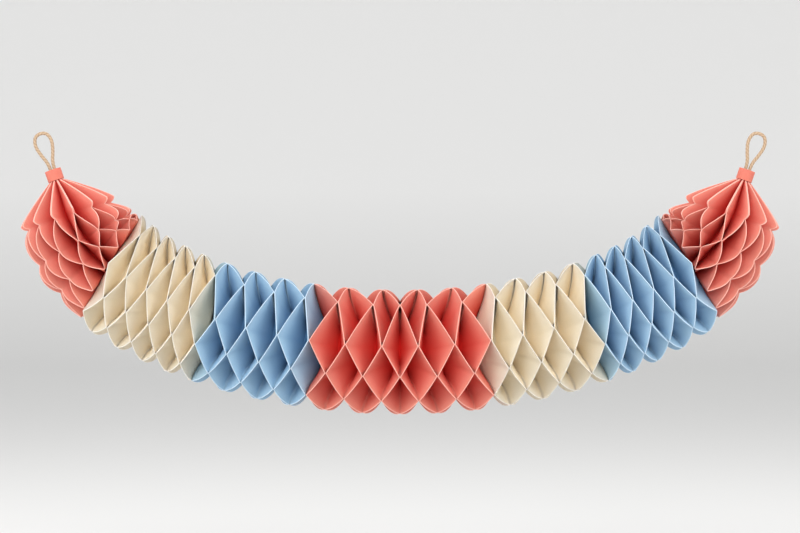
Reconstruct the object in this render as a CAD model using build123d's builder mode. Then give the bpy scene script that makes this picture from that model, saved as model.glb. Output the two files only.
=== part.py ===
from build123d import *
from functools import lru_cache
import math
import os

# Honeycomb paper garland: seven pleated paper sleeves in a row, gathered into a
# paper collar at each end, with a cord loop to hang it by. Lengths in mm, angles
# in degrees. X runs along the garland, the front looks along -Y, Z is up.

# Paper sleeves
tube_radius = 53.0        # outer fold of the pleats, from the garland's axis
core_radius = 18.0        # inner fold of the pleats
paper = 0.5               # thickness of the card
glue_gap = 0.3            # room left between two folds that are glued together
centre_ridges = 10        # outer folds in the middle sleeve
centre_pitch = 15.3       # from one outer fold to the next
inner_ridges = 7
inner_pitch = 13.4
outer_ridges = 9
outer_pitch = 10.0

# Glue spots round the tube, as angles up from the front: the ones in view, and
# the ones spread evenly round the back
front_rows = (-80.0, -50.0, -22.0, 6.5, 50.0, 85.0)
back_first = 125.0
back_last = 235.0
back_rows = 6
free_span = 39.0          # glue spots further apart have one free point between them

# The inner folds lie nearer to the garland's middle than the outer ones
valley_shift = 12.0       # close to the middle
valley_shift_end = 6.2    # close to the end sleeves
shift_settle = 13.0       # distance over which the shift sets in at the middle and ends
crown_row = 4             # this row of glue spots is drawn to the middle as well
crown_share = 0.65        # by this share of the inner folds' shift

# How the garland hangs: the slope of its axis and the tilt of its rings both grow
# from the middle to each end, where they reach the same angle
end_angle = 71.0
sag_angle = 34.5
sag_power = 4.5
ring_sag = 16.0
ring_power = 5

# Gathered ends, with their folds lengthwise
end_folds = 28
end_rings = 3             # rings of glue spots after the first
end_pitch = 22.5
end_radius = 50.0
tip_radius = 43.0         # the first ring, where the gathers fan out
lobe_depth = 1.8          # how far the folds draw in at a ring of glue spots
swell_rings = 1.5         # rings over which the sleeve reaches its full radius
neck_length = 22.5        # from the first ring to the collar
neck_waist = 0.5          # share of the neck where the gathers are set out
waist_valley = 10.0
gather_depth = 1.7        # folds of the gathered paper inside the collar

# Collars
collar_radius = 7.0
collar_wall = 0.8
collar_length = 9.4
collar_clearance = 0.3
cord_seat = 1.0           # from the collar's rim down to the gathered paper

# Hanging loops: how far out from the collar's rim, and how far to the side
cord_diameter = 3.0
leg_spread = 1.7
loop_side = ((6.0, leg_spread), (15.0, 5.4), (24.5, 7.8), (32.5, 4.6))

half_length = (
    centre_ridges * centre_pitch / 2
    + inner_ridges * inner_pitch
    + outer_ridges * outer_pitch
    + end_rings * end_pitch
)
collar_start = half_length + neck_length
collar_end = collar_start + collar_length
gather_end = collar_end - cord_seat
gather_radius = collar_radius - collar_wall - collar_clearance

os.makedirs("parts", exist_ok=True)


def slope(distance):
    """Slope of the garland's axis at a distance from its middle."""
    share = min(distance / half_length, 1.0)
    return math.radians(sag_angle * share + (end_angle - sag_angle) * share**sag_power)


def ring_tilt(distance):
    """Tilt of the rings at a distance from the middle; they hang steeper than the axis."""
    share = min(distance / half_length, 1.0)
    return math.radians(ring_sag * share + (end_angle - ring_sag) * share**ring_power)


def axis_run(distance):
    """How far out and how far up the axis gets, at a distance from its middle."""
    steps = 60
    step = distance / steps
    angles = [slope((i + 0.5) * step) for i in range(steps)]
    out = step * sum(math.cos(angle) for angle in angles)
    rise = step * sum(math.sin(angle) for angle in angles)
    return out, rise


def sleeve_rows():
    """Rows of points round a middle sleeve: angle, and glue spot or None for a free point."""
    step = (back_last - back_first) / (back_rows - 1)
    glued = list(front_rows) + [back_first + step * i for i in range(back_rows)]
    rows = []
    for spot, row in enumerate(glued):
        after = glued[spot + 1] if spot + 1 < len(glued) else glued[0] + 360.0
        rows.append((row, spot))
        if after - row > free_span:
            rows.append(((row + after) / 2, None))
    return rows


# The origin is the middle of the paper's box, so the axis is lowered by this much
paper_top = axis_run(collar_end)[1] + collar_radius * math.cos(slope(collar_end))
paper_bottom = tube_radius * min(math.sin(math.radians(row)) for row, spot in sleeve_rows())
middle_height = (paper_top + paper_bottom) / 2


@lru_cache(maxsize=None)
def axis_plane(station):
    """Plane across the garland: its x axis points to the front, its y axis up."""
    distance = abs(station)
    out, rise = axis_run(distance)
    side = math.copysign(1.0, station)
    tilt = side * ring_tilt(distance)
    return Plane(
        origin=(side * out, 0, rise - middle_height),
        x_dir=(0, -1, 0),
        z_dir=(math.cos(tilt), 0, math.sin(tilt)),
    )


def tube_point(station, radius, row):
    """Point on a circle across the garland, at an angle up from the front."""
    angle = math.radians(row)
    plane = axis_plane(station)
    up = plane.y_dir if plane.y_dir.Z > 0 else -plane.y_dir
    return plane.origin + plane.x_dir * (radius * math.cos(angle)) + up * (radius * math.sin(angle))


def facet(a, b, c):
    return Face(Wire.make_polygon([a, b, c]))


def band(lower, upper, crossed):
    """Facets between two rings of points; crossed says which diagonal each has."""
    faces = []
    count = len(lower)
    for j in range(count):
        k = (j + 1) % count
        if crossed[j]:
            faces.append(facet(lower[j], lower[k], upper[j]))
            faces.append(facet(lower[k], upper[k], upper[j]))
        else:
            faces.append(facet(lower[j], lower[k], upper[k]))
            faces.append(facet(lower[j], upper[k], upper[j]))
    return faces


def fan(ring, tip):
    """Facets from a ring of points to one point."""
    count = len(ring)
    return [facet(ring[j], ring[(j + 1) % count], tip) for j in range(count)]


def reverse_fan(ring, tip):
    """The same facets, facing the other way."""
    return fan(list(reversed(ring)), tip)


def drawn_in(station, share):
    """A ring's station, moved to the garland's middle by a share of the inner folds' shift."""
    distance = abs(station)
    full = valley_shift + (valley_shift_end - valley_shift) * distance / sleeve_end
    set_in = math.tanh(distance / shift_settle) * math.tanh((sleeve_end - distance) / shift_settle)
    return station - math.copysign(share * full * set_in, station)


def solid_of(faces):
    return Solid(Shell(faces))


def plain_sleeve(start, first_ring, ridges, pitch):
    """A pleated sleeve that is open at both ends.

    Each outer fold leans to the ring before it or after it, spot by spot, so that
    it meets its neighbours at the glue spots. The card's two faces are built as an
    outer skin and an inner skin.
    """
    rows = sleeve_rows()
    angles = [row for row, spot in rows]
    depth = tube_radius - core_radius
    foot_radius = core_radius - paper
    straight = [True] * len(rows)
    faces = []
    last_feet = None
    for k in range(ridges):
        low = start + k * pitch
        high = low + pitch
        low_valley = drawn_in(low, 1.0) + (glue_gap / 2 if k == 0 else 0.0)
        high_valley = drawn_in(high, 1.0) - (glue_gap / 2 if k == ridges - 1 else 0.0)
        middle = (low_valley + high_valley) / 2
        stretch = math.hypot(1.0, pitch / depth)
        fold_share = 2 * paper * stretch / (high_valley - low_valley)
        ridge = []
        inside = []
        back = []
        for row, spot in rows:
            if spot is None:
                place = (low + high) / 2
                back.append(back[-1])
            else:
                back.append((spot + first_ring + k) % 2 == 0)
                place = drawn_in(low if back[-1] else high, crown_share if spot == crown_row else 0.0)
                place += glue_gap / 2 if back[-1] else -glue_gap / 2
            ridge.append(tube_point(place, tube_radius, row))
            inner_place = place + (middle - place) * fold_share
            inside.append(tube_point(inner_place, tube_radius - depth * fold_share, row))
        front = [not leans for leans in back]
        valley_a = [tube_point(low_valley, core_radius, row) for row in angles]
        valley_b = [tube_point(high_valley, core_radius, row) for row in angles]
        foot_a = [tube_point(low_valley + paper, foot_radius, row) for row in angles]
        foot_b = [tube_point(high_valley - paper, foot_radius, row) for row in angles]
        faces += band(valley_a, ridge, front)
        faces += band(ridge, valley_b, front)
        faces += band(inside, foot_a, back)
        faces += band(foot_b, inside, back)
        if k == 0:
            faces += band(foot_a, valley_a, straight)
        else:
            faces += band(foot_a, last_feet, front)
        last_feet = foot_b
    faces += band(valley_b, last_feet, straight)
    return solid_of(faces)


def end_section(station, outer_radius, inner_radius, swing):
    """Outer and inner ring of points across an end sleeve's lengthwise pleats.

    Each fold swings to one neighbour where swing is 1 and to the other where it is -1.
    """
    step = 360.0 / end_folds
    reach = step / 2 - math.degrees(glue_gap / 2 / outer_radius)
    foot_turn = math.degrees(paper / inner_radius)
    fold_share = 2 * paper / (inner_radius * math.radians(step))
    outer = []
    inner = []
    for i in range(end_folds):
        side = 1 if i % 2 == 0 else -1
        valley = tube_point(station, inner_radius, i * step)
        after = tube_point(station, inner_radius, (i + 1) * step)
        ridge = tube_point(station, outer_radius, (i + 0.5) * step + side * swing * reach)
        outer += [valley, ridge]
        inner.append(tube_point(station, inner_radius - paper, i * step + foot_turn))
        inner.append(ridge + ((valley + after) / 2 - ridge) * fold_share)
        inner.append(tube_point(station, inner_radius - paper, (i + 1) * step - foot_turn))
    return outer, inner


def gathered_sleeve():
    """An end sleeve: its folds run lengthwise and are gathered into the collar."""
    waist = -half_length - neck_length * neck_waist
    waist_ridge = tip_radius + (gather_radius - tip_radius) * neck_waist
    bunch_valley = gather_radius - gather_depth
    top = end_section(-gather_end, gather_radius, bunch_valley, 1.0)[0]
    mouth = end_section(-collar_start, gather_radius, bunch_valley, 1.0)[0]
    sections = [end_section(waist, waist_ridge, waist_valley, 1.0)]
    for half_ring in range(2 * end_rings + 1):
        ring = half_ring / 2
        swell = math.sin(math.pi / 2 * min(ring / swell_rings, 1.0))
        radius = tip_radius + (end_radius - tip_radius) * swell
        if half_ring % 2 == 0 and half_ring > 0:
            radius -= lobe_depth
        swing = math.cos(math.pi * ring)
        station = -half_length + ring * end_pitch
        if half_ring == 2 * end_rings:
            station -= glue_gap / 2
        sections.append(end_section(station, radius, core_radius, swing))

    outer_cross = [True, False] * end_folds
    inner_cross = [False, True, True] * end_folds
    faces = reverse_fan(top, axis_plane(-gather_end).origin)
    faces += band(top, mouth, outer_cross)
    faces += band(mouth, sections[0][0], outer_cross)
    faces += fan(sections[0][1], axis_plane(-collar_start).origin)
    for (outer, inner), (next_outer, next_inner) in zip(sections, sections[1:]):
        faces += band(outer, next_outer, outer_cross)
        faces += band(next_inner, inner, inner_cross)
    outer, inner = sections[-1]
    for i in range(end_folds):
        valley, ridge, after = outer[2 * i], outer[2 * i + 1], outer[(2 * i + 2) % len(outer)]
        foot, apex, far_foot = inner[3 * i : 3 * i + 3]
        faces.append(facet(valley, ridge, apex))
        faces.append(facet(ridge, after, apex))
        faces.append(facet(valley, apex, foot))
        faces.append(facet(after, far_foot, apex))
        faces.append(facet(valley, foot, inner[3 * i - 1]))
    return solid_of(faces)


outer_start = -centre_ridges * centre_pitch / 2 - inner_ridges * inner_pitch - outer_ridges * outer_pitch
inner_start = -centre_ridges * centre_pitch / 2 - inner_ridges * inner_pitch
centre_start = -centre_ridges * centre_pitch / 2
centre_ring = -(centre_ridges // 2)
inner_ring = centre_ring - inner_ridges
outer_ring = inner_ring - outer_ridges
sleeve_end = -outer_start

with BuildPart() as centre_sleeve:
    add(plain_sleeve(centre_start, centre_ring, centre_ridges, centre_pitch))

with BuildPart() as inner_sleeve:
    add(plain_sleeve(inner_start, inner_ring, inner_ridges, inner_pitch))

with BuildPart() as outer_sleeve:
    add(plain_sleeve(outer_start, outer_ring, outer_ridges, outer_pitch))

with BuildPart() as end_sleeve:
    add(gathered_sleeve())

with BuildPart() as collar:
    with BuildSketch(axis_plane(-collar_end)) as band_section:
        Circle(collar_radius)
        Circle(collar_radius - collar_wall, mode=Mode.SUBTRACT)
    extrude(amount=collar_length)

rim = axis_plane(-collar_end)
side_dir = rim.x_dir.cross(rim.z_dir)
seat = [(-cord_seat, leg_spread)]
legs = seat + list(loop_side)
route_steps = legs + [(out, -side) for out, side in reversed(legs)]
route = [rim.origin - rim.z_dir * out + side_dir * side for out, side in route_steps]

corner_radii = []
for before, here, after in zip(route, route[1:], route[2:]):
    turn = math.radians((here - before).get_angle(after - here))
    shorter = min((here - before).length, (after - here).length)
    corner_radii.append(0.45 * shorter / math.tan(turn / 2))
print("loop bend radii", [round(radius, 2) for radius in corner_radii])

with BuildPart() as hanging_loop:
    with BuildLine() as loop_path:
        FilletPolyline(*route, radius=corner_radii)
    with BuildSketch(Plane(origin=route[0], z_dir=route[1] - route[0])) as cord_section:
        Circle(cord_diameter / 2)
    sweep()

loop_length = loop_path.wire().length
print("loop length", round(loop_length, 2), "route", [tuple(round(v, 2) for v in p) for p in route])
print("loop volume ratio", hanging_loop.part.volume / (math.pi * cord_diameter**2 / 4 * loop_length))

left_pieces = {
    "cream_outer_sleeve": outer_sleeve,
    "blue_inner_sleeve": inner_sleeve,
    "coral_left_sleeve": end_sleeve,
    "left_collar": collar,
    "left_hanging_loop": hanging_loop,
    "coral_centre_sleeve": centre_sleeve,
}
right_names = {
    "blue_outer_sleeve": outer_sleeve,
    "cream_inner_sleeve": inner_sleeve,
    "coral_right_sleeve": end_sleeve,
    "right_collar": collar,
    "right_hanging_loop": hanging_loop,
}
for name, piece in left_pieces.items():
    piece.part.label = name
    export_step(piece.part, f"parts/{name}.step")

for name, piece in right_names.items():
    with BuildPart() as mirrored:
        mirror(piece.part, about=Plane.YZ)
    mirrored.part.label = name
    export_step(mirrored.part, f"parts/{name}.step")
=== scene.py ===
import math
import bmesh
import bpy
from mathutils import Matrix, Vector


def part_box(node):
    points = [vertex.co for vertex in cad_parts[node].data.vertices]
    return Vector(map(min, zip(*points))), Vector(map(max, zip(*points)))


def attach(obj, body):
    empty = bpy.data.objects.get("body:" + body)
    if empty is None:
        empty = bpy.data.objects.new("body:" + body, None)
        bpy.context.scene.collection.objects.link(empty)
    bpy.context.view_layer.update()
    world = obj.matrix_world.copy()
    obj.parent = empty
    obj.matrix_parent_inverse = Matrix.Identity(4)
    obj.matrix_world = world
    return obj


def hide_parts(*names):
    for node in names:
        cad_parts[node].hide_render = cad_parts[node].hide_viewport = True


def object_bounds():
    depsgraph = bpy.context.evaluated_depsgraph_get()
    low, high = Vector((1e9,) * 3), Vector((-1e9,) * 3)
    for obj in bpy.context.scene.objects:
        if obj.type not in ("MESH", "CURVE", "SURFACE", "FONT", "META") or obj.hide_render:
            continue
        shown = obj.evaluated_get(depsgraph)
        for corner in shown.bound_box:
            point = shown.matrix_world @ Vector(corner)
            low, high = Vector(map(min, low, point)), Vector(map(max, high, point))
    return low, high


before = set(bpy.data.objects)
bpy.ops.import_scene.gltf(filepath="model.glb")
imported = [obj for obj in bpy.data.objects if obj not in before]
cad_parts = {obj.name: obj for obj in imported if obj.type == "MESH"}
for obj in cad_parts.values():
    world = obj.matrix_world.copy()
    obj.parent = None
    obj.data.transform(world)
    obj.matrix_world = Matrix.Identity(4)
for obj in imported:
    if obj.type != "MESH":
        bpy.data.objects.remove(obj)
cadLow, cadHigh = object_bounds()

mm = 0.001  # the frame is in metres, the sizes of the garland are in mm and degrees

# how the garland hangs: the slope of its axis grows from the middle to each end
hang = {
    "sag": 34.5,
    "end": 71.0,           # slope at the collars
    "power": 4.5,
    "ringSag": 16.0,
    "ringPower": 5,
    "ringEase": 1.3,       # over 1, the rings of a gathered end start to turn later
    "length": 327.8,       # where the slope has reached its end
    "steps": 60,
}

# the pleated tube that all the middle sleeves share
pleat = {
    "tubeRadius": 53.0,
    "foldHalf": 0.36,      # half the width of a fold's edge, which is painted lighter as a highlight
    "sleeveGap": 0.04,     # from a sleeve's outermost inner fold to its joint with the next sleeve
    "bow": 1.45,           # over 1, the walls stand up straighter at their edge
    "shift": 12.0,         # how far the inner folds lie nearer to the middle
    "shiftEnd": 8.0,
    "shiftSettle": 13.0,
    "crownRow": 4,         # this row of glue spots is drawn to the middle too
    "crownShare": 0.65,
    "stepsPerRow": 7,
    "paper": 0.4,
    "wallSteps": (0.0, 0.08, 0.2, 0.35, 0.5, 0.65, 0.8, 0.92, 0.985),             # shares of a wall's height
    "foldSteps": ((-1.0, 0.4), (-0.6, 0.1), (0.0, 0.0), (0.6, 0.1), (1.0, 0.4)),  # place across, drop
}
# angles of the glue spots, up from the front
frontRows = [-80.0, -50.0, -22.0, 6.5, 50.0, 85.0]
backRows = {"first": 125.0, "last": 235.0, "count": 6}

blocks = {
    "centre": {"ridges": 10, "pitch": 15.3, "core": 24.0},
    "inner": {"ridges": 7, "pitch": 13.4, "core": 24.0},
    "outer": {"ridges": 9, "pitch": 10.0, "core": 30.0, "lastCore": 24.0},  # joins the inner block's core
}

# the gathered ends: lengthwise pleats, in pairs at the collar
gather = {
    "pleats": 28,
    "core": 17.0,
    "neckLength": 33.0,    # from the collar to the fan's rim
    "tipRadius": 42.0,     # at the fan's rim
    "endRadius": 49.0,
    "bunchRadius": 5.9,    # inside the collar
    "bunchDepth": 1.7,
    "lobeDepth": 4.6,      # how far a fold dips at its glue spots
    "lobePower": 2.1,
    "leafPeak": 0.86,      # share of the fan at which its leaves are widest
    "fanBow": 1.15,
    "coreEase": 1.4,
    "foldShare": 0.2,      # a fold's edge takes no more of a pleat than this
    "swellRings": 1.5,     # rings over which the tube swells to its end radius
    "innerSwell": 3.5,     # how far the first lobes stand out on the inside of the bend
    "ringPlaces": (0.0, 24.0, 40.5, 57.0),
    "endGap": 0.3,         # to the next sleeve
    "neckSteps": 21,
    "ringSteps": 10,
    "wallSteps": (0.0, 0.12, 0.3, 0.5, 0.7, 0.88, 0.98),
    "foldSteps": ((-1.0, 0.4), (-0.5, 0.1), (0.5, 0.1), (1.0, 0.4)),
}
collar = {"radius": 7.0, "length": 9.4, "seat": 1.0}

# where each block starts, and its first ring, counted from the garland's middle
centreStart = -blocks["centre"]["ridges"] * blocks["centre"]["pitch"] / 2
innerStart = centreStart - blocks["inner"]["ridges"] * blocks["inner"]["pitch"]
outerStart = innerStart - blocks["outer"]["ridges"] * blocks["outer"]["pitch"]
centreRing = -(blocks["centre"]["ridges"] // 2)
innerRing = centreRing - blocks["inner"]["ridges"]
outerRing = innerRing - blocks["outer"]["ridges"]

sleeveEnd = -outerStart
halfLength = sleeveEnd + gather["ringPlaces"][-1]
collarStart = halfLength + gather["neckLength"]
collarEnd = collarStart + collar["length"]


def slopeAt(distance):
    share = min(distance / hang["length"], 1.0)
    return math.radians(hang["sag"] * share + (hang["end"] - hang["sag"]) * share ** hang["power"])


def ringTilt(distance):
    # the rings stand more upright than square to the axis, and those of a gathered end turn with its collar
    share = min(distance, sleeveEnd) / hang["length"]
    tilt = hang["ringSag"] * share + (hang["end"] - hang["ringSag"]) * share ** hang["ringPower"]
    late = min(max(distance - sleeveEnd, 0.0) / (halfLength - sleeveEnd), 1.0)
    tilt += (hang["end"] - tilt) * math.sin(math.pi / 2 * late) ** hang["ringEase"]
    return math.radians(tilt)


def axisRun(distance):
    step = distance / hang["steps"]
    angles = [slopeAt((i + 0.5) * step) for i in range(hang["steps"])]
    return step * sum(map(math.cos, angles)), step * sum(map(math.sin, angles))


# the collar's upper rim gives the height of the axis in the frame
rimRise = axisRun(collarEnd)[1] + collar["radius"] * math.cos(slopeAt(collarEnd))
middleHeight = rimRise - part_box("left_collar")[1].z / mm
axisCache = {}


def axisAt(station):
    if station not in axisCache:
        out, rise = axisRun(abs(station))
        side = math.copysign(1.0, station)
        tilt = side * ringTilt(abs(station))
        place = Vector((side * out, 0.0, rise - middleHeight))
        axisCache[station] = (place, Vector((-math.sin(tilt), 0.0, math.cos(tilt))))
    return axisCache[station]


def tubePoint(station, radius, angle):
    place, up = axisAt(round(station, 3))
    turn = math.radians(angle)
    front = Vector((0.0, -radius * math.cos(turn), 0.0))
    return (place + front + up * (radius * math.sin(turn))) * mm


print("garland line ready, half length", round(halfLength, 1), "middle height", round(middleHeight, 2))


# socket wrapper, so that shader maths reads as plain expressions
class Sock:
    def __init__(self, tree, out):
        self.tree = tree
        self.out = out

    def node(self, kind, settings=None, pick=0, **values):
        # sockets are named, or numbered as i0, i1 and so on
        made = self.tree.nodes.new(kind)
        for name, value in (settings or {}).items():
            setattr(made, name, value)
        for name, value in values.items():
            numbered = name[0] == "i" and name[1:].isdigit()
            socket = made.inputs[int(name[1:]) if numbered else name]
            if isinstance(value, Sock):
                self.tree.links.new(value.out, socket)
            else:
                socket.default_value = value
        return Sock(self.tree, made.outputs[pick])

    def maths(self, operation, other):
        return self.node("ShaderNodeMath", {"operation": operation}, i0=self, i1=other)

    def __add__(self, other):
        return self.maths("ADD", other)

    def __mul__(self, other):
        return self.maths("MULTIPLY", other)

    def __pow__(self, other):
        return self.maths("POWER", other)

    __radd__ = __add__
    __rmul__ = __mul__

    def mix(self, first, second):
        return self.node("ShaderNodeMix", {"data_type": "RGBA"}, pick=2, i0=self, i6=first, i7=second)

    def times(self, shade):
        # a colour made lighter or darker by a value
        grey = self.node("ShaderNodeCombineXYZ", X=shade, Y=shade, Z=shade)
        multiply = {"data_type": "RGBA", "blend_type": "MULTIPLY"}
        return self.node("ShaderNodeMix", multiply, pick=2, i0=1.0, i6=self, i7=grey)

    def feed(self, shader, name):
        self.tree.links.new(self.out, shader.inputs[name])


def newMaterial(name):
    made = bpy.data.materials.new(name)
    made.use_nodes = True
    shader = made.node_tree.nodes["Principled BSDF"]
    return made, shader, Sock(made.node_tree, None)


def linear(colour):
    # a screen colour in the linear values that the shader takes
    shares = [c / 255 for c in colour]
    return tuple(s / 12.92 if s <= 0.04045 else ((s + 0.055) / 1.055) ** 2.4 for s in shares) + (1.0,)


# coloured card: base, the painted highlight on the edge of its folds, the painted shade deep in
# the cells (for the cream, painted light that lifts that shade) and how soon it sets in, and the share of
# light that passes into the card
papers = {
    "coral": {
        "base": (229, 141, 125), "edge": (244, 170, 155), "deep": (196, 8, 3), "fade": 0.75, "glow": 0.35,
    },
    "cream": {
        # the cream's deep colour is paler than its base: painted light that offsets the shade in its cells
        "base": (238, 222, 194), "edge": (244, 232, 212), "deep": (246, 224, 186), "fade": 1.25, "glow": 0.85,
    },
    "blue": {
        "base": (160, 194, 220), "edge": (188, 214, 236), "deep": (68, 110, 152), "fade": 1.25, "glow": 0.35,
    },
    "collar": {
        "base": (208, 118, 102), "edge": (236, 150, 134), "deep": (196, 60, 48), "fade": 1.25, "glow": 0.3,
    },
}
card = {
    "cloudScale": 22.0,
    "cloudShare": 0.16,    # how much of the colour the soft mottling takes
    "fibreScale": 900.0,
    "fibreShare": 0.12,
    "rough": 0.8,
    "roughShare": 0.12,
    "bump": 0.12,
    "bumpDepth": 0.0004,
    "specular": 0.25,
    "glowDepth": 0.003,
}


def cardMaterial(name, tint):
    made, shader, start = newMaterial(name)
    spot = start.node("ShaderNodeTexCoord", pick=3)
    edge = start.node("ShaderNodeAttribute", {"attribute_name": "edge"}, pick=2)
    depth = start.node("ShaderNodeAttribute", {"attribute_name": "depth"}, pick=2)
    cloud = start.node("ShaderNodeTexNoise", Vector=spot, Scale=card["cloudScale"], Detail=3.0)
    fibre = start.node("ShaderNodeTexNoise", Vector=spot, Scale=card["fibreScale"],
                       Detail=4.0, Roughness=0.7)
    # painted shade: the colour turns to the deep colour towards the valleys of the cells
    shadedSheet = (depth ** tint["fade"]).mix(linear(tint["base"]), linear(tint["deep"]))
    clouded = cloud * card["cloudShare"] + (1 - card["cloudShare"] / 2)
    fibrous = fibre * card["fibreShare"] + (1 - card["fibreShare"] / 2)
    # painted highlight: the fold edges take the lighter edge colour
    edge.mix(shadedSheet.times(clouded * fibrous), linear(tint["edge"])).feed(shader, "Base Color")
    (fibre * card["roughShare"] + card["rough"]).feed(shader, "Roughness")
    bump = start.node("ShaderNodeBump", Strength=card["bump"], Distance=card["bumpDepth"], Height=fibre)
    bump.feed(shader, "Normal")
    shader.inputs["Specular IOR Level"].default_value = card["specular"]
    shader.inputs["Subsurface Weight"].default_value = tint["glow"]
    shader.inputs["Subsurface Radius"].default_value = (1.0, 1.0, 1.0)
    shader.inputs["Subsurface Scale"].default_value = card["glowDepth"]
    return made


# the cord's yarn; its groove colour is painted shade between the strands
yarn = {
    "base": (188, 162, 134),
    "groove": (116, 88, 64),
    "fibreScale": 1600.0,
    "fibreShare": 0.5,
    "darkest": 0.72,
    "rough": 0.85,
    "bump": 0.5,
    "bumpDepth": 0.0004,
}


def cordMaterial():
    made, shader, start = newMaterial("twistedCord")
    spot = start.node("ShaderNodeTexCoord", pick=3)
    groove = start.node("ShaderNodeAttribute", {"attribute_name": "depth"}, pick=2)
    fibre = start.node("ShaderNodeTexNoise", Vector=spot, Scale=yarn["fibreScale"],
                       Detail=3.0, Roughness=0.65)
    # painted shade: the yarn darkens towards the grooves between its strands
    grooveShaded = groove.mix(linear(yarn["base"]), linear(yarn["groove"]))
    grooveShaded.times(fibre * yarn["fibreShare"] + yarn["darkest"]).feed(shader, "Base Color")
    bump = start.node("ShaderNodeBump", Strength=yarn["bump"], Distance=yarn["bumpDepth"], Height=fibre)
    bump.feed(shader, "Normal")
    shader.inputs["Roughness"].default_value = yarn["rough"]
    return made


paperFinish = {name: cardMaterial(name + "Card", tint) for name, tint in papers.items()}
cordFinish = cordMaterial()
print("finishes ready:", len(paperFinish) + 1)

seamWeld = 2e-6  # metres


def gridPiece(name, across, around, place, finish, mirror=False, inward=False, thick=None):
    # a flat grid, every corner moved to its place, with the seam welded
    work = bmesh.new()
    bmesh.ops.create_grid(work, x_segments=across, y_segments=around, size=0.5)
    # edge carries the painted highlight on the folds; depth carries painted shade, in the cells and in the
    # cord's grooves
    edgeLayer = work.verts.layers.float.new("edge")
    depthLayer = work.verts.layers.float.new("depth")
    for vert in work.verts:
        column = round((vert.co.x + 0.5) * across)
        row = round((vert.co.y + 0.5) * around)
        vert.co, vert[edgeLayer], vert[depthLayer] = place(column, row)
        if mirror:
            vert.co.x = -vert.co.x
    bmesh.ops.remove_doubles(work, verts=work.verts, dist=seamWeld)
    if mirror != inward:
        bmesh.ops.reverse_faces(work, faces=work.faces)
    for face in work.faces:
        face.smooth = True
    mesh = bpy.data.meshes.new(name)
    work.to_mesh(mesh)
    work.free()
    piece = bpy.data.objects.new(name, mesh)
    bpy.context.scene.collection.objects.link(piece)
    mesh.materials.append(finish)
    if thick:
        shell = piece.modifiers.new("cardThickness", "SOLIDIFY")
        shell.thickness = thick * mm
        shell.offset = -1.0
    return piece


def rowAngles():
    step = (backRows["last"] - backRows["first"]) / (backRows["count"] - 1)
    return frontRows + [backRows["first"] + step * i for i in range(backRows["count"])]


def angleAt(rowPlace, rows):
    row = int(rowPlace)
    first = rows[row % len(rows)]
    last = rows[(row + 1) % len(rows)]
    if last < first:
        last += 360.0
    return first + (last - first) * (rowPlace - row)


def drawnIn(station, share):
    # a place along the garland, moved to the middle by a share of the full shift there
    distance = abs(station)
    settle = pleat["shiftSettle"]
    full = pleat["shift"] + (pleat["shiftEnd"] - pleat["shift"]) * distance / sleeveEnd
    setIn = math.tanh(distance / settle) * math.tanh((sleeveEnd - distance) / settle)
    return station - math.copysign(share * full * setIn, station)


def spotPlace(low, high, ring, row):
    # the fold meets its left neighbour at one glue spot and its right one at the next
    leansBack = (row + ring) % 2 == 0
    place = drawnIn(low if leansBack else high, pleat["crownShare"] if row == pleat["crownRow"] else 0.0)
    return place + pleat["foldHalf"] if leansBack else place - pleat["foldHalf"]


def pleatProfile(wallSteps, foldSteps):
    # one pleat from valley to valley: (side, height share, place across the fold's edge, drop)
    left = [(-1, height, None, None) for height in wallSteps]
    fold = [(0, 1.0, offset, drop) for offset, drop in foldSteps]
    right = [(1, height, None, None) for height in reversed(wallSteps)]
    return left + fold + right


def wallBlend(height):
    # how far a wall has come from its valley to its fold at a share of its height
    return 1 - (1 - height) ** pleat["bow"]


def pleatStep(column, count, pleats):
    # the pleat that a column of the grid is in, and its step in it; the last column ends the last pleat
    if column == pleats * count:
        return pleats - 1, count
    return divmod(column, count)


def sleevePiece(name, start, firstRing, block, finish, flip=False):
    rows = rowAngles()
    ridges, pitch = block["ridges"], block["pitch"]
    profile = pleatProfile(pleat["wallSteps"], pleat["foldSteps"])
    count = len(profile) - 1  # a valley is shared with the next pleat
    around = len(rows) * pleat["stepsPerRow"]
    half, gap = pleat["foldHalf"], pleat["sleeveGap"]
    tube = pleat["tubeRadius"]
    top = tube - pleat["foldSteps"][0][1]

    def place(column, row):
        k, step = pleatStep(column, count, ridges)
        rowPlace = row / pleat["stepsPerRow"]
        angle = angleAt(rowPlace, rows)
        low = start + k * pitch
        spot = int(rowPlace)
        here = spotPlace(low, low + pitch, firstRing + k, spot % len(rows))
        there = spotPlace(low, low + pitch, firstRing + k, (spot + 1) % len(rows))
        ridge = here + (there - here) * (rowPlace - spot)
        side, height, offset, drop = profile[step]
        # fold steps get edge 1 for the painted highlight; wall steps get depth, 1 at the valley, for the
        # painted shade
        if offset is not None:
            return tubePoint(ridge + offset * half, tube - drop, angle), 1.0, 0.0
        valley = drawnIn(low if side < 0 else low + pitch, 1.0)
        core = block["core"]
        if k == 0 and side < 0:
            valley += gap
        elif k == ridges - 1 and side > 0:
            valley -= gap
            core = block.get("lastCore", core)
        station = valley + (ridge + side * half - valley) * wallBlend(height)
        return tubePoint(station, core + (top - core) * height, angle), 0.0, 1.0 - height

    return gridPiece(name, ridges * count, around, place, finish, flip, False, pleat["paper"])


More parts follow.
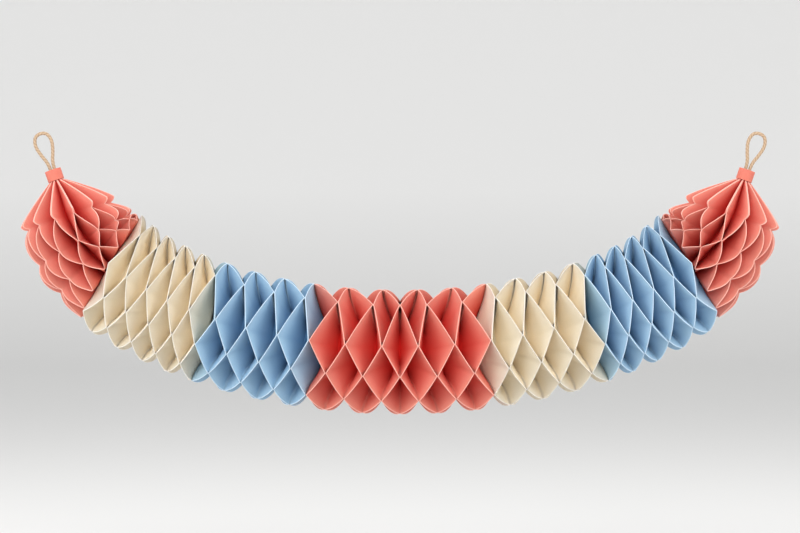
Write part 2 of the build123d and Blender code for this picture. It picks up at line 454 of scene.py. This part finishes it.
def endPiece(name, finish, flip=False):
    # lengthwise pleats: bunched in the collar, fanned out to the first ring, then
    # swinging to and fro so that each meets its left and right neighbour in turn
    pleats = gather["pleats"]
    spread = 360.0 / pleats
    profile = pleatProfile(gather["wallSteps"], gather["foldSteps"])
    count = len(profile) - 1
    start = -halfLength
    mouth = -collarStart
    bunchTop = -(collarEnd - collar["seat"])
    ringSteps, neckSteps = gather["ringSteps"], gather["neckSteps"]
    rings = len(gather["ringPlaces"]) - 1
    fanRow = 2                     # row at the collar's mouth, after the bunch's middle and rim
    rimRow = fanRow + neckSteps
    lastRow = rimRow + rings * ringSteps
    bunch, peak = gather["bunchRadius"], gather["leafPeak"]
    deep = bunch - gather["bunchDepth"]
    tip, core = gather["tipRadius"], gather["core"]

    def section(row):
        # station, ridge radius, valley radius and swing of one ring across the sleeve, and
        # how far its folds dip at the front and on the inside of the bend
        if row == 0:
            return bunchTop, 0.0, 0.0, 1.0, 0.0, 0.0
        if row < fanRow:
            return bunchTop, bunch, deep, 1.0, 0.0, 0.0
        if row <= rimRow:
            share = (row - fanRow) / neckSteps
            ridge = bunch + (tip - bunch) * (1 - max(1 - share / peak, 0.0) ** gather["fanBow"])
            valley = deep + (core - deep) * share ** gather["coreEase"]
            dip = gather["lobeDepth"] * max((share - peak) / (1 - peak), 0.0) ** gather["lobePower"]
            return mouth + (start - mouth) * share, ridge, valley, 1.0, dip, dip
        ring = (row - rimRow) / ringSteps
        swing = 1 - 2 * (ring % 1)
        swing = swing if int(ring) % 2 == 0 else -swing
        swell = math.sin(math.pi / 2 * min(ring / gather["swellRings"], 1.0))
        ridge = tip + (gather["endRadius"] - tip) * swell
        dip = innerDip = 0.0
        if ring < rings - 0.5:
            # the rows after the first are squeezed on the inside of the bend, and don't dip there
            dip = gather["lobeDepth"] * abs(2 * (ring % 1) - 1) ** gather["lobePower"]
            innerDip = dip * max(2.0 - max(ring, 1.0), 0.0)
        if ring < 1:
            innerDip -= gather["innerSwell"] * math.sin(math.pi * ring)
        low = min(int(ring), rings - 1)
        first, last = gather["ringPlaces"][low:low + 2]
        station = start + first + (last - first) * (ring - low)
        if row == lastRow:
            station -= gather["endGap"]
        return station, ridge, core, swing, dip, innerDip

    sections = [section(row) for row in range(lastRow + 1)]

    def place(column, row):
        i, step = pleatStep(column, count, pleats)
        station, outer, inner, swing, dip, innerDip = sections[row]
        side, height, offset, drop = profile[step]
        edge = math.degrees(pleat["foldHalf"] / max(outer, 1e-3))  # the first row is a point
        half = min(edge, spread * gather["foldShare"])
        middle = (i + 0.5) * spread
        sign = 1 if i % 2 == 0 else -1
        ridge = middle + sign * swing * (spread / 2 - half)
        inside = max(math.sin(math.radians(middle)), 0.0)
        outer -= dip + (innerDip - dip) * inside
        # fold steps get edge 1 for the painted highlight; wall steps get depth, 1 at the valley, for the
        # painted shade
        if offset is not None:
            return tubePoint(station, max(outer - drop, 0.0), ridge + offset * half), 1.0, 0.0
        valley = i * spread if side < 0 else (i + 1) * spread
        top = max(outer - gather["foldSteps"][0][1], 0.0)
        angle = valley + (ridge + side * half - valley) * wallBlend(height)
        return tubePoint(station, inner + (top - inner) * height, angle), 0.0, 1.0 - height

    return gridPiece(name, pleats * count, lastRow, place, finish, flip, True, pleat["paper"])


def settlePiece(piece, node, slot):
    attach(piece, "root")
    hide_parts(node)


sleeves = {
    "coral_centre_sleeve": ("centre", centreStart, centreRing, "coral", False),
    "blue_inner_sleeve": ("inner", innerStart, innerRing, "blue", False),
    "cream_outer_sleeve": ("outer", outerStart, outerRing, "cream", False),
    "cream_inner_sleeve": ("inner", innerStart, innerRing, "cream", True),
    "blue_outer_sleeve": ("outer", outerStart, outerRing, "blue", True),
}
for node, (block, start, ring, colour, flip) in sleeves.items():
    piece = sleevePiece(node + "_paper", start, ring, blocks[block], paperFinish[colour], flip)
    settlePiece(piece, node, colour + "_paper")
print("middle sleeves ready:", len(sleeves))

for node, flip in {"coral_left_sleeve": False, "coral_right_sleeve": True}.items():
    piece = endPiece(node + "_paper", paperFinish["coral"], flip)
    settlePiece(piece, node, "coral_paper")
print("gathered ends ready")

for name in ("left_collar", "right_collar"):
    band = bpy.data.objects[name]
    band.data.materials.clear()
    band.data.materials.append(paperFinish["collar"])
print("collars ready")

# the hanging loops, each one cord from the collar and back into it
loop = {
    "diameter": 3.0,
    "legSpread": 1.7,
    "side": ((6.0, 1.7), (15.0, 5.4), (24.5, 7.8), (32.5, 4.6)),  # out from the collar, across
    "strands": 3,
    "twist": 9.5,          # length of one turn
    "groove": 0.2,
    "strandPower": 0.7,    # under 1, the strands are rounder and the grooves narrower
    "around": 24,
    "resolution": 16,
}


def loopRoute(side):
    place, up = axisAt(round(-collarEnd, 3))
    along = Vector((up.z, 0.0, -up.x))
    legs = [(-collar["seat"], loop["legSpread"])] + list(loop["side"])
    steps = legs + [(out, -across) for out, across in reversed(legs)]
    points = [(place - along * out + up * across) * mm for out, across in steps]
    return [Vector((p.x * side, p.y, p.z)) for p in points]


def splineLine(points):
    # the route as control points of one NURBS line, read back as a smooth polyline
    data = bpy.data.curves.new("loopLine", "CURVE")
    data.dimensions = "3D"
    data.resolution_u = loop["resolution"]
    line = data.splines.new("NURBS")
    line.points.add(len(points) - 1)
    for control, point in zip(line.points, points):
        control.co = (*point, 1.0)
    line.order_u = 3
    line.use_endpoint_u = True
    holder = bpy.data.objects.new("loopLine", data)
    mesh = bpy.data.meshes.new_from_object(holder)
    read = [v.co.copy() for v in mesh.vertices]
    bpy.data.objects.remove(holder)
    bpy.data.meshes.remove(mesh)
    bpy.data.curves.remove(data)
    return read


def cordPiece(name, line, finish):
    # a tube with strands that turn round it along its length
    travel = [0.0]
    for a, b in zip(line, line[1:]):
        travel.append(travel[-1] + (b - a).length)
    around = loop["around"]
    radius = loop["diameter"] / 2
    across = Vector((0.0, 1.0, 0.0))

    def place(column, row):
        before = line[max(row - 1, 0)]
        after = line[min(row + 1, len(line) - 1)]
        other = (after - before).normalized().cross(across).normalized()
        turn = 2 * math.pi * (column % around) / around
        phase = loop["strands"] * (turn + 2 * math.pi * travel[row] / mm / loop["twist"]) / 2
        bulge = abs(math.sin(phase)) ** loop["strandPower"]
        size = (radius - loop["groove"] * (1 - bulge)) * mm
        point = line[row] + (across * math.cos(turn) + other * math.sin(turn)) * size
        # depth is 1 at the bottom of a groove, where the painted shade is darkest
        return point, 0.0, (1 - bulge) ** 2

    return gridPiece(name, around, len(line) - 1, place, finish), travel[-1]


for side, name in {-1: "right", 1: "left"}.items():
    line = splineLine(loopRoute(side))
    piece, length = cordPiece(name + "_loop_cord", line, cordFinish)
    settlePiece(piece, name + "_hanging_loop", "cord")
    print(name, "loop", round(length, 4), "m")

# soft lamps, all aimed at the garland's middle: place, size, power and colour
studio = {
    "key": ((-0.3, -2.3, 1.1), 1.8, 32.0, (1.0, 0.98, 0.95)),
    "left": ((-1.7, -1.5, 0.4), 1.6, 16.0, (1.0, 0.99, 0.98)),
    "right": ((1.7, -1.5, 0.4), 1.6, 16.0, (1.0, 0.99, 0.98)),
    "top": ((0.0, 0.2, 1.7), 1.6, 12.0, (1.0, 1.0, 1.0)),
}
for name, (place, size, power, colour) in studio.items():
    data = bpy.data.lights.new(name, "AREA")
    data.shape = "DISK"
    data.size = size
    data.energy = power
    data.color = colour
    lamp = bpy.data.objects.new(name, data)
    lamp.location = place
    lamp.rotation_euler = (-Vector(place)).to_track_quat("-Z", "Y").to_euler()
    bpy.context.scene.collection.objects.link(lamp)

room = {"colour": (0.95, 0.95, 0.95, 1.0), "strength": 0.8}
world = bpy.data.worlds.new("paleRoom")
bpy.context.scene.world = world
world.use_nodes = True
world.node_tree.nodes["Background"].inputs["Color"].default_value = room["colour"]
world.node_tree.nodes["Background"].inputs["Strength"].default_value = room["strength"]
print("lamps ready:", len(studio))

# the floor runs back and curves up into a plain wall, all in metres
stage = {
    "half": 9.0,
    "below": 0.14,         # from the garland's lowest point to the floor
    "front": -9.0,
    "bend": 5.0,
    "radius": 2.0,
    "height": 6.0,
    "steps": 16,
    "floor": (0.76, 0.76, 0.755, 1.0),
    "wall": (0.97, 0.97, 0.965, 1.0),
    "fade": 0.5,           # height over which the floor's colour turns into the wall's
    "rough": 0.9,
}
floorLevel = cadLow.z - stage["below"]


def stagePoint(step):
    if step == 0:
        return stage["front"], 0.0
    if step == stage["steps"]:
        return stage["bend"] + stage["radius"], stage["height"]
    turn = math.pi / 2 * (step - 1) / (stage["steps"] - 2)
    return stage["bend"] + stage["radius"] * math.sin(turn), stage["radius"] * (1 - math.cos(turn))


work = bmesh.new()
bmesh.ops.create_grid(work, x_segments=1, y_segments=stage["steps"], size=0.5)
for vert in work.verts:
    back, rise = stagePoint(round((vert.co.y + 0.5) * stage["steps"]))
    vert.co = (vert.co.x * 2 * stage["half"], back, floorLevel + rise)
for face in work.faces:
    face.smooth = True
mesh = bpy.data.meshes.new("paleFloor")
work.to_mesh(mesh)
work.free()
floor = bpy.data.objects.new("paleFloor", mesh)
bpy.context.scene.collection.objects.link(floor)

# the wall behind is out of the lamps' reach, so it is paler than the floor
floorFinish, shader, start = newMaterial("paleFloor")
spot = start.node("ShaderNodeTexCoord", pick=3)
height = start.node("ShaderNodeSeparateXYZ", pick=2, Vector=spot)
rise = start.node("ShaderNodeMapRange", i0=height, i1=floorLevel, i2=floorLevel + stage["fade"])
rise.mix(stage["floor"], stage["wall"]).feed(shader, "Base Color")
shader.inputs["Roughness"].default_value = stage["rough"]
mesh.materials.append(floorFinish)
print("floor ready")

# the camera looks straight at the front; a pixel of the photo is 0.85 mm, its distance is in metres
photo = {"width": 800, "pixel": 0.85, "midRow": 266.5, "axisRow": 352.0, "distance": 2.4, "sensor": 36.0}
data = bpy.data.cameras.new("photoCamera")
data.sensor_width = photo["sensor"]
data.lens = photo["sensor"] * photo["distance"] / (photo["width"] * photo["pixel"] * mm)
camera = bpy.data.objects.new("photoCamera", data)
camHeight = (photo["axisRow"] - photo["midRow"]) * photo["pixel"] - middleHeight
camera.location = (0.0, -photo["distance"], camHeight * mm)
camera.rotation_euler = (math.pi / 2, 0.0, 0.0)
bpy.context.scene.collection.objects.link(camera)
bpy.context.scene.camera = camera
bpy.context.scene.view_settings.view_transform = "Standard"

print("scene ready")
